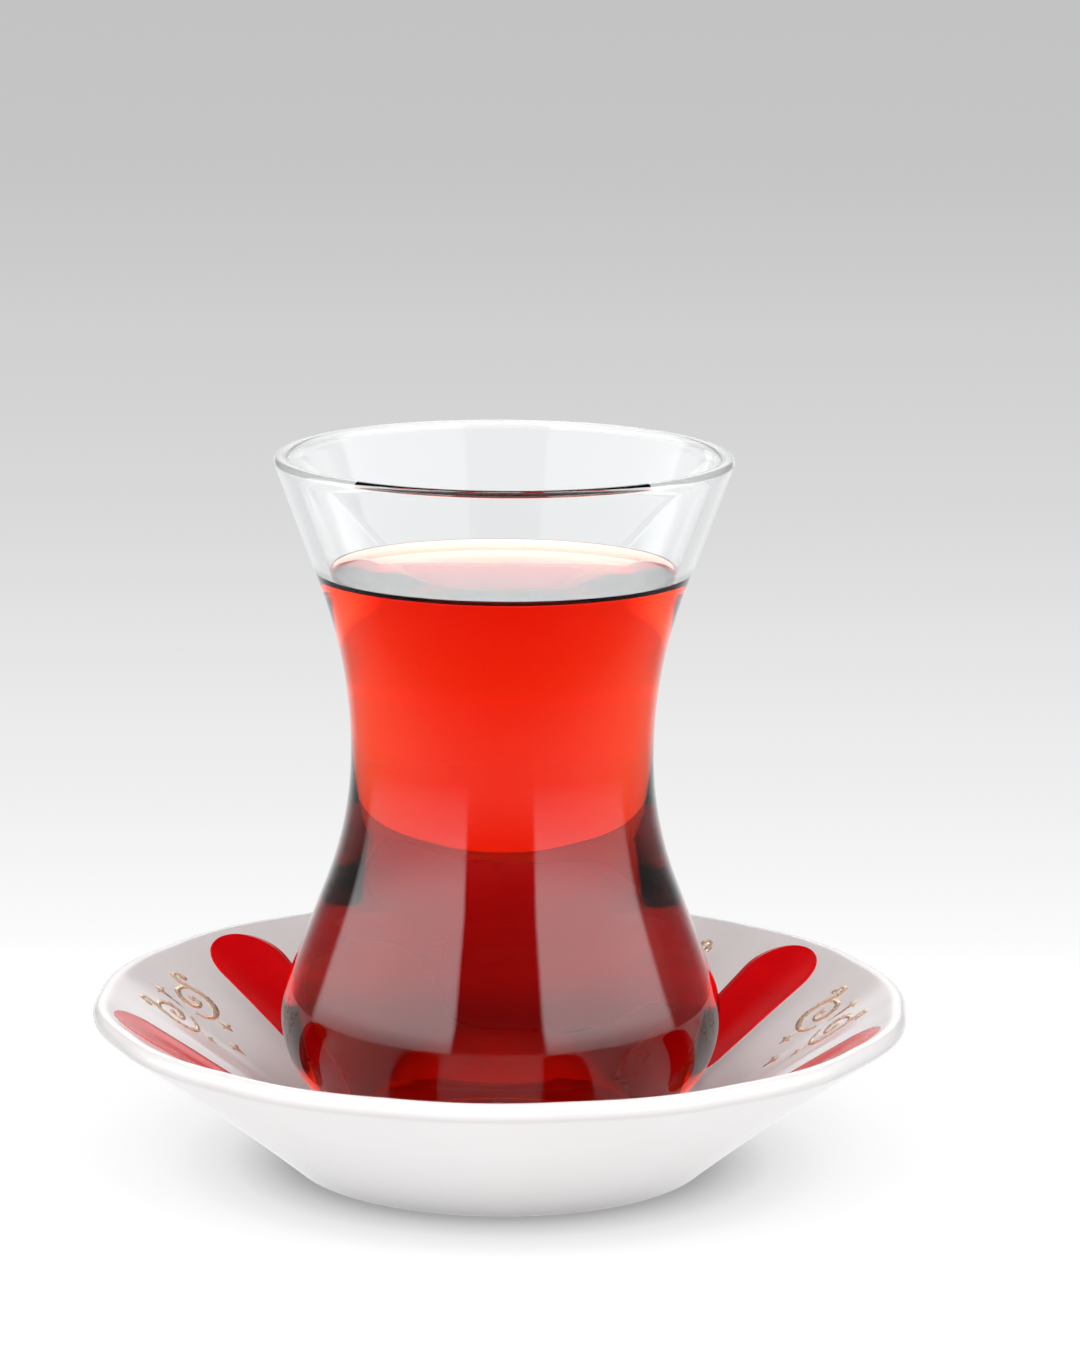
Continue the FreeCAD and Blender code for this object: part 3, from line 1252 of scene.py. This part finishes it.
@dataclass
class TeaGlass:
    """Clear waisted glass.

    Attributes:
        form: Its shape.
        level: Height of the tea, below which the inner wall is wet.
        dry: Finish of the outside and the base.
        bare: Finish of the inner wall above the tea.
        edge: Finish of the rim's rounding, apart from its front: glass hazed pale as a painted sheen that
            stands in for the light the rim's sides reflect.
        wet: Finish of the inner wall that the tea touches.
        front: Share of its radius beyond which a place on the rim counts as its front.
        segments: Faces round the axis.
    """

    form: TulipForm
    level: float
    dry: GlassFinish = field(default_factory=lambda: GlassFinish("clear_glass_dry"))
    bare: GlassFinish = field(default_factory=lambda: GlassFinish("clear_glass_bare", gloss=0.25))
    # The rim's edge is hazed pale, a painted sheen in place of reflected light; the front of the rim stays
    # clear.
    edge: GlassFinish = field(default_factory=lambda: GlassFinish("clear_glass_painted_sheen_edge", haze=0.55))
    wet: GlassFinish = field(default_factory=lambda: GlassFinish("clear_glass_wet", gloss=0.08))
    front: float = 0.78
    segments: int = 176

    def finish_of(self, face: bpy.types.MeshPolygon) -> int:
        """Which finish a face of the glass has.

        Args:
            face: The face.

        Returns:
            0 for dry, 1 for wet, 2 for bare and 3 for the rim's edge with its painted sheen.
        """
        centre = face.center
        floor_level = self.form.stand + self.form.floor / 2
        inwards = face.normal.x * centre.x + face.normal.y * centre.y < 0
        on_floor = face.normal.z > 0.7 and centre.z > floor_level
        # Rim faces away from the front get the hazed finish, a painted sheen.
        if centre.z > self.form.rim_level and -centre.y < self.front * math.hypot(centre.x, centre.y):
            return 3
        if inwards and self.level < centre.z < self.form.rim_level:
            return 2
        if (inwards or on_floor) and floor_level < centre.z < self.level:
            return 1
        return 0

    def build(self) -> list[bpy.types.Object]:
        """Makes the glass and puts it in the CAD glass's place.

        Returns:
            Its piece.
        """
        form = self.form
        under, outer_start = form.underside()
        outer = form.side(0.0, outer_start, form.rim_level)
        floor, inner_start = form.inside_floor(form.wall)
        inner = form.side(form.wall, inner_start, form.rim_level)
        edge = ((outer[-1][0] + inner[-1][0]) / 2, form.rim_level)
        half = (outer[-1][0] - inner[-1][0]) / 2
        squash = form.wall / 2 / half
        rim = [(r, edge[1] + (z - edge[1]) * squash) for r, z in arc_points(edge, half, 0, 180, 15)]
        profile = under + outer + rim[1:-1] + inner[::-1] + floor[::-1]
        piece = revolved("tea_glass", profile, self.segments)
        for finish in (self.dry, self.wet, self.bare, self.edge):
            piece.data.materials.append(finish.material())
        for face in piece.data.polygons:
            face.material_index = self.finish_of(face)
        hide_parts(CadNode.GLASS.value)
        return [piece]


@dataclass
class Tea:
    """Brewed tea, filling the glass up to its level with a curled-up edge.

    Attributes:
        form: Shape of the glass that holds it.
        level: Height of its surface.
        reach: How far it reaches into the glass's wall, so that no gap shows.
        climb: How far its edge climbs the wall.
        curl: Width of the curled edge.
        rows: Rings of the surface, closer together towards its edge.
        body: Finish of the sides, which wet the glass.
        top: Finish of the open surface.
        segments: Faces round the axis.
    """

    form: TulipForm
    level: float
    reach: float = 0.12 * MM
    climb: float = 0.8 * MM
    curl: float = 0.5 * MM
    rows: int = 34
    body: TeaFinish = field(default_factory=lambda: TeaFinish("brewed_tea_body", gloss=0.02))
    top: TeaFinish = field(default_factory=lambda: TeaFinish("brewed_tea_top"))
    segments: int = 176

    def surface(self, edge: Pair) -> list[Pair]:
        """Points of the surface, from its edge to the axis.

        Args:
            edge: Where the tea's side ends, at the height of its climb.

        Returns:
            The points after the edge.
        """
        points = []
        for i in range(1, self.rows):
            inward = edge[0] * (i / self.rows) ** 2
            wet = max(0.0, inward - self.reach)
            points.append((edge[0] - inward, self.level + self.climb * math.exp(-wet / self.curl)))
        return points + [(0.0, self.level)]

    def build(self) -> list[bpy.types.Object]:
        """Makes the tea and puts it in the CAD tea's place.

        Returns:
            Its piece.
        """
        depth = self.form.wall - self.reach
        floor, start = self.form.inside_floor(depth, self.reach)
        side = self.form.side(depth, start, self.level + self.climb)
        piece = revolved("brewed_tea", floor + side + self.surface(side[-1]), self.segments)
        piece.data.materials.append(self.body.material())
        piece.data.materials.append(self.top.material())
        for face in piece.data.polygons:
            face.material_index = int(face.center.z > self.level and face.normal.z > 0.05)
        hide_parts(CadNode.TEA.value)
        return [piece]


# ------------------------------------------------------------------------------ studio


@dataclass(frozen=True)
class Softbox:
    """A soft rectangular light that only shines on matt surfaces.

    Attributes:
        name: Its name.
        azimuth: Degrees from the front towards the right.
        elevation: Degrees of its middle above the table.
        distance: Metres from the object.
        size: Width and height.
        brightness: How bright its face is.
    """

    name: str
    azimuth: float
    elevation: float
    distance: float
    size: Pair
    brightness: float

    def build(self, target: Vector) -> bpy.types.Object:
        """Hangs the light.

        Args:
            target: What it points at.

        Returns:
            The light's object.
        """
        data = bpy.data.lights.new(self.name, "AREA")
        data.shape = "RECTANGLE"
        data.size, data.size_y = self.size
        data.energy = self.brightness * math.pi * self.size[0] * self.size[1]
        light = bpy.data.objects.new(self.name, data)
        bpy.context.scene.collection.objects.link(light)
        turn, up = math.radians(self.azimuth), math.radians(self.elevation)
        way = Vector((math.sin(turn) * math.cos(up), -math.cos(turn) * math.cos(up), math.sin(up)))
        light.location = target + way * self.distance
        light.rotation_euler = way.to_track_quat("Z", "Y").to_euler()
        light.visible_camera = False
        light.visible_glossy = False
        light.visible_transmission = False
        return light


@dataclass(frozen=True)
class Surroundings:
    """What clear and shiny surfaces show of the room, as a function of direction.

    Two tall panels stand left and right of a dark gap at the front; the back is pale.  Light
    that is reflected, light that is seen through clear surfaces and the plain backdrop each
    have a brightness of their own.  Matt surfaces are lit by the soft boxes only.

    Attributes:
        peak: Brightness of the panels.
        around: (azimuth in degrees, share of the peak) above the table.
        upwards: (elevation in degrees, share) of all that stands above the table.
        near: (azimuth in degrees, brightness) of the table in front.
        band: (elevation in degrees, share) of the table in front.
        rear: (azimuth in degrees, brightness) of the table behind.
        through: (azimuth in degrees, brightness) of what is seen through the glass.
        rising: (elevation in degrees, share) of what is seen through the glass, as
            multiples of its first share.
        behind_tea: How much brighter than that it is through glass and tea.
        tea_surfaces: Clear surfaces that light passes before it counts as through the tea.
        backdrop: Brightness where the camera looks past the backdrop.
        horizon: Elevations between which the table behind fades out.
        cast: Colour of all of it.
    """

    peak: float = 4.4
    around: tuple[Pair, ...] = (
        (-180, 0.45), (-165, 0.45), (-158, 0.035), (-117, 0.035), (-113, 1.0), (-26, 1.0), (-24.5, 0.004),
        (23.3, 0.004), (24.8, 1.0), (100, 1.0), (104, 0.035), (158, 0.035), (165, 0.45), (180, 0.45),
    )
    upwards: tuple[Pair, ...] = (
        (-12, 0.0), (0, 0.3), (10, 0.62), (18, 0.95), (32, 1.0), (38, 0.15), (45, 0.02), (70, 0.05), (90, 0.2),
    )
    near: tuple[Pair, ...] = (
        (-115, 0.0), (-100, 0.25), (-70, 0.45), (0, 0.25), (70, 0.45), (100, 0.25), (115, 0.0),
    )
    band: tuple[Pair, ...] = ((-34, 0.0), (-15, 1.0), (-8, 1.0), (2, 0.3), (6, 0.0))
    rear: tuple[Pair, ...] = (
        (-180, 1.0), (-158, 0.8), (-142, 0.25), (-118, 0.15), (-95, 0.0),
        (95, 0.0), (118, 0.15), (142, 0.25), (158, 0.8), (180, 1.0),
    )
    through: tuple[Pair, ...] = ((-180, 0.88), (-60, 0.88), (0, 0.7), (60, 0.88), (180, 0.88))
    rising: tuple[Pair, ...] = ((7, 0.4), (9.5, 1.0), (14, 1.0), (17, 0.4))
    behind_tea: float = 1.85
    tea_surfaces: float = 4.5
    backdrop: float = 0.75
    horizon: Pair = (-9.0, 6.0)
    cast: Colour = (0.985, 0.99, 1.0)

    def round_about(self, graph: Graph, azimuth: bpy.types.NodeSocket, stops: Sequence[Pair]) -> Any:
        """Grey that changes with the azimuth."""
        return grey_ramp(graph, azimuth, stops, 360, 0.5)

    def up_and_down(self, graph: Graph, elevation: bpy.types.NodeSocket, stops: Sequence[Pair]) -> Any:
        """Grey that changes with the elevation."""
        return grey_ramp(graph, elevation, stops, 180, 0.5)

    def reflected(
        self, graph: Graph, azimuth: bpy.types.NodeSocket, elevation: bpy.types.NodeSocket
    ) -> bpy.types.NodeSocket:
        """Brightness of what glossy surfaces show.

        Args:
            graph: Graph to add to.
            azimuth: Degrees from the front towards the right.
            elevation: Degrees above the table.

        Returns:
            The brightness.
        """
        above = graph.math("MULTIPLY", self.round_about(graph, azimuth, self.around), self.peak)
        standing = graph.math("MULTIPLY", above, self.up_and_down(graph, elevation, self.upwards))
        low = graph.add("ShaderNodeMapRange", interpolation_type="SMOOTHSTEP")
        graph.join(elevation, low.inputs["Value"])
        for name, value in zip(("From Min", "From Max", "To Min", "To Max"), (*self.horizon, 1.0, 0.0)):
            low.inputs[name].default_value = value
        behind = graph.math("MULTIPLY", self.round_about(graph, azimuth, self.rear), low.outputs[0])
        front = self.round_about(graph, azimuth, self.near)
        front = graph.math("MULTIPLY", front, self.up_and_down(graph, elevation, self.band))
        return graph.math("ADD", standing, graph.math("ADD", behind, front))

    def refracted(
        self,
        graph: Graph,
        azimuth: bpy.types.NodeSocket,
        elevation: bpy.types.NodeSocket,
        surfaces: bpy.types.NodeSocket,
    ) -> bpy.types.NodeSocket:
        """Brightness of what is seen through clear surfaces.

        Args:
            graph: Graph to add to.
            azimuth: Degrees from the front towards the right.
            elevation: Degrees above the table.
            surfaces: How many clear surfaces the light has passed.

        Returns:
            The brightness.
        """
        clear = self.round_about(graph, azimuth, self.through)
        clear = graph.math("MULTIPLY", clear, self.up_and_down(graph, elevation, self.rising))
        clear = graph.math("DIVIDE", clear, self.rising[0][1])
        deep = graph.math("GREATER_THAN", surfaces, self.tea_surfaces)
        deep = graph.math("MULTIPLY", deep, self.behind_tea - 1)
        return graph.math("MULTIPLY", clear, graph.math("ADD", deep, 1.0))

    def build(self) -> None:
        """Sets the scene's world."""
        world = bpy.data.worlds.new("studio")
        bpy.context.scene.world = world
        world.use_nodes = True
        world.node_tree.nodes.clear()
        graph = Graph(world.node_tree)
        way = graph.add("ShaderNodeTexCoord")
        split = graph.add("ShaderNodeSeparateXYZ")
        graph.join(way.outputs["Generated"], split.inputs[0])
        x, y, z = split.outputs
        turn = graph.math("ARCTAN2", x, graph.math("MULTIPLY", y, -1.0))
        azimuth = graph.math("MULTIPLY", turn, math.degrees(1))
        elevation = graph.math("MULTIPLY", graph.math("ARCSINE", z), math.degrees(1))

        path = graph.add("ShaderNodeLightPath")
        whole = self.reflected(graph, azimuth, elevation)
        clear = self.refracted(graph, azimuth, elevation, path.outputs["Transmission Depth"])
        seen = graph.add("ShaderNodeMix", data_type="FLOAT")
        graph.join(path.outputs["Is Transmission Ray"], seen.inputs["Factor"])
        graph.join(whole, seen.inputs["A"])
        graph.join(clear, seen.inputs["B"])
        pick = graph.add("ShaderNodeMix", data_type="FLOAT")
        graph.join(path.outputs["Is Camera Ray"], pick.inputs["Factor"])
        graph.join(seen.outputs["Result"], pick.inputs["A"])
        pick.inputs["B"].default_value = self.backdrop
        shade = graph.add("ShaderNodeBackground")
        shade.inputs["Color"].default_value = rgba(self.cast)
        graph.join(pick.outputs["Result"], shade.inputs["Strength"])
        output = graph.add("ShaderNodeOutputWorld")
        graph.join(shade.outputs[0], output.inputs["Surface"])
        world.cycles_visibility.diffuse = False


@dataclass(frozen=True)
class PaperFinish:
    """Pale paper with a soft painted contact shadow, fading to grey behind the object.

    Attributes:
        paper: Grey that the lights shine on, about the object.
        shadow: (distance from the axis in metres, glow) of the painted contact shadow, a glow that is dimmest
            by the saucer's foot.
        shadow_reach: Distance that the shadow's ramp covers.
        fade: (way back in metres, glow) of the paper behind the object.
        fade_reach: Way back that the fade's ramp covers.
        change: Way back where the first gives way to the second, from and to.
        cast: Colour of the fade.
    """

    paper: float = 0.16
    shadow: tuple[Pair, ...] = (
        (0.029, 0.32), (0.033, 0.5), (0.038, 0.68), (0.046, 0.8), (0.06, 0.87), (0.09, 0.91),
    )
    shadow_reach: float = 0.1
    fade: tuple[Pair, ...] = (
        (0.05, 1.02), (0.11, 0.99), (0.133, 0.955), (0.222, 0.871), (0.328, 0.807),
        (0.458, 0.73), (0.55, 0.672), (0.62, 0.631), (0.69, 0.56), (0.75, 0.546),
    )
    fade_reach: float = 0.8
    change: Pair = (0.07, 0.13)
    cast: Colour = (1.0, 1.004, 1.002)

    def glow(self, graph: Graph, colour: bpy.types.NodeSocket) -> bpy.types.NodeSocket:
        """Adds a surface that gives off light of its own."""
        node = graph.add("ShaderNodeEmission")
        graph.join(colour, node.inputs["Color"])
        return node.outputs[0]

    def material(self) -> bpy.types.Material:
        """Builds the material.

        Returns:
            The material.
        """
        material = bpy.data.materials.new("studio_sweep")
        material.use_nodes = True
        material.node_tree.nodes.clear()
        graph = Graph(material.node_tree)
        place = graph.add("ShaderNodeTexCoord")
        split = graph.add("ShaderNodeSeparateXYZ")
        graph.join(place.outputs["Object"], split.inputs[0])
        faded = grey_ramp(graph, split.outputs["Y"], self.fade, self.fade_reach, cast=self.cast)

        matt = graph.add("ShaderNodeBsdfDiffuse")
        matt.inputs["Color"].default_value = rgba((self.paper,) * 3)
        flat = graph.add("ShaderNodeVectorMath", operation="LENGTH")
        graph.join(place.outputs["Object"], flat.inputs[0])
        # Painted contact shadow: the floor's glow drops towards the axis under the saucer, whatever the lights
        # do.
        shaded = grey_ramp(graph, flat.outputs["Value"], self.shadow, self.shadow_reach)
        lit = graph.add("ShaderNodeAddShader")
        graph.join(matt.outputs[0], lit.inputs[0])
        graph.join(self.glow(graph, shaded), lit.inputs[1])

        change = graph.add("ShaderNodeMapRange", interpolation_type="SMOOTHSTEP")
        graph.join(split.outputs["Y"], change.inputs["Value"])
        change.inputs["From Min"].default_value = self.change[0]
        change.inputs["From Max"].default_value = self.change[1]
        mix = graph.add("ShaderNodeMixShader")
        graph.join(change.outputs[0], mix.inputs[0])
        graph.join(lit.outputs[0], mix.inputs[1])
        graph.join(self.glow(graph, faded), mix.inputs[2])
        output = graph.add("ShaderNodeOutputMaterial")
        graph.join(mix.outputs[0], output.inputs["Surface"])
        return material


@dataclass
class Studio:
    """Pale floor, backdrop, lights and camera.

    Attributes:
        distance: Camera's distance in front of the glass.
        height: Camera's height.
        aside: Camera's place to the right of the glass.
        pitch: Degrees that it looks down.
        roll: Degrees that it leans.
        yaw: Degrees that it looks to the left.
        lens: Focal length in millimetres.
        sensor: Sensor's long side in millimetres.
        half_width: Half the width of the floor and the backdrop.
        target: What the lights point at.
        paper: Finish of the floor and the backdrop, with the painted contact shadow.
        boxes: The lights.
    """

    distance: float = 0.750
    height: float = 0.22006
    aside: float = 0.00488
    pitch: float = 11.402
    roll: float = 0.441
    yaw: float = -0.017
    lens: float = 148.605
    sensor: float = 36.0
    half_width: float = 2.4
    target: tuple[float, float, float] = (0.0, 0.0, 0.05)
    paper: PaperFinish = field(default_factory=PaperFinish)
    boxes: tuple[Softbox, ...] = (
        Softbox("softbox_left", -30, 46, 0.95, (0.5, 0.6), 4.6),
        Softbox("softbox_right", 30, 46, 0.95, (0.5, 0.6), 4.6),
        Softbox("softbox_left_side", -78, 24, 0.95, (0.7, 0.5), 1.8),
        Softbox("softbox_right_side", 78, 24, 0.95, (0.7, 0.5), 1.8),
        Softbox("softbox_top", 0, 88, 1.1, (1.4, 1.4), 0.6),
    )

    def camera(self) -> None:
        """Sets the camera up."""
        data = bpy.data.cameras.new("camera")
        data.lens = self.lens
        data.sensor_width = self.sensor
        data.clip_start, data.clip_end = 0.01, 20.0
        camera = bpy.data.objects.new("camera", data)
        bpy.context.scene.collection.objects.link(camera)
        place = Matrix.Translation((self.aside, -self.distance, self.height))
        swing = Matrix.Rotation(math.radians(self.yaw), 4, "Z")
        tilt = Matrix.Rotation(math.radians(90 - self.pitch), 4, "X")
        lean = Matrix.Rotation(math.radians(self.roll), 4, "Z")
        camera.matrix_world = place @ swing @ tilt @ lean
        bpy.context.scene.camera = camera

    def sheet(self, name: str, profile: Sequence[Pair], finish: bpy.types.Material) -> bpy.types.Object:
        """Makes one wide sheet of the sweep.

        Args:
            name: Name of the object.
            profile: (y, z) of its bends, from the front to the back.
            finish: Its material.

        Returns:
            The object.
        """
        points = [(x, y, z) for y, z in profile for x in (-self.half_width, self.half_width)]
        faces = [(2 * i, 2 * i + 1, 2 * i + 3, 2 * i + 2) for i in range(len(profile) - 1)]
        sheet = new_object(name, np.array(points), faces)
        sheet.data.materials.append(finish)
        sheet.visible_glossy = False
        sheet.visible_transmission = False
        return sheet

    def sweep(self) -> None:
        """Lays the floor and the backdrop that it curves up into."""
        finish = self.paper.material()
        self.sheet("studio_floor", [(-2.5, 0.0), (-0.6, 0.0), (0.0, 0.0), (0.3, 0.0)], finish)
        curve = arc_points((0.45, 0.5), 0.5, -90, 0, 24)
        backdrop = self.sheet("studio_backdrop", [(0.3, 0.0)] + curve + [(0.95, 1.2)], finish)
        backdrop.visible_diffuse = False

    def lights(self) -> None:
        """Hangs the lights."""
        for box in self.boxes:
            box.build(Vector(self.target))

    def build(self) -> None:
        """Sets up everything round the object."""
        self.camera()
        self.sweep()
        self.lights()
        Surroundings().build()
        scene = bpy.context.scene
        scene.view_settings.view_transform = "Standard"
        scene.cycles.glossy_bounces = 8


# ------------------------------------------------------------------------------ the whole


def main() -> None:
    """Builds the object and the studio, and reports each piece."""
    logging.basicConfig(level=logging.INFO, format="%(name)s: %(message)s")
    saucer_form = FlutedForm()
    glass_form = TulipForm()
    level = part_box(CadNode.TEA.value)[1][2]
    makers = [
        Saucer(saucer_form),
        Petals(saucer_form),
        Scrolls(saucer_form),
        TeaGlass(glass_form, level),
        Tea(glass_form, level),
    ]
    for maker in makers:
        for piece in maker.build():
            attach(piece, BODY)
            log.info("%s: %d faces", piece.name, len(piece.data.polygons))
    Studio().build()


if __name__ == "__main__":
    main()
